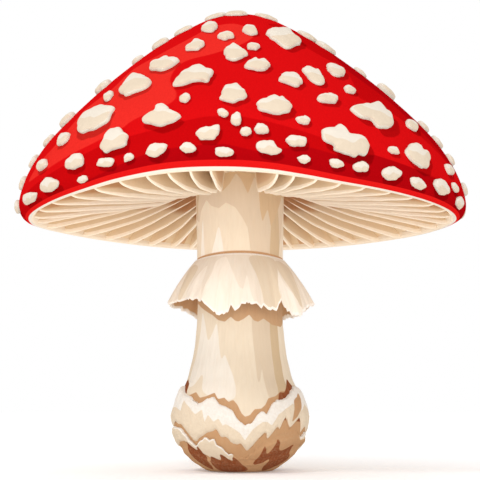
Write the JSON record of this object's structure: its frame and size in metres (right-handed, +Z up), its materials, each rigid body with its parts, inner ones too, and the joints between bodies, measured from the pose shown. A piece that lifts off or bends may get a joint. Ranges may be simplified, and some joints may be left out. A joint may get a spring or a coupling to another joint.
{
  "type": "fly agaric mushroom",
  "caption": "Fly agaric mushroom: a red domed cap with pale warts, white gills, a stem with a hanging skirt and a scaly bulb it stands on.",
  "frame": {"origin": "centre of the small flat under the bulb, where the mushroom stands", "axes": "+Z up along the stem, -Y the front that the source picture shows, +X to the viewer's right"},
  "size_m": [0.1334, 0.1339, 0.1372],
  "materials": {
    "cap_skin": "gloss",
    "gill": "matte",
    "stem": "matte",
    "ring": "matte",
    "volva": "matte",
    "wart": "matte"
  },
  "bodies": {
    "root": {"cap": "cap_skin", "gills": "gill", "stem": "stem", "ring": "ring", "volva_ruff_1": "volva", "volva_ruff_2": "volva", "volva_ruff_3": "volva", "wart_01": "wart", "wart_02": "wart", "wart_03": "wart", "wart_04": "wart", "wart_05": "wart", "wart_06": "wart", "wart_07": "wart", "wart_08": "wart", "wart_09": "wart", "wart_10": "wart", "wart_11": "wart", "wart_12": "wart", "wart_13": "wart", "wart_14": "wart", "wart_15": "wart", "wart_16": "wart", "wart_17": "wart", "wart_18": "wart", "wart_19": "wart", "wart_20": "wart", "wart_21": "wart", "wart_22": "wart", "wart_23": "wart", "wart_24": "wart", "wart_25": "wart", "wart_26": "wart", "wart_27": "wart", "wart_28": "wart", "wart_29": "wart", "wart_30": "wart", "wart_31": "wart", "wart_32": "wart", "wart_33": "wart", "wart_34": "wart", "wart_35": "wart", "wart_36": "wart", "wart_37": "wart", "wart_38": "wart", "wart_39": "wart", "wart_40": "wart", "wart_41": "wart", "wart_42": "wart", "wart_43": "wart", "wart_44": "wart", "wart_45": "wart", "wart_46": "wart", "wart_47": "wart", "wart_48": "wart", "wart_49": "wart", "wart_50": "wart"}
  },
  "joints": []
}
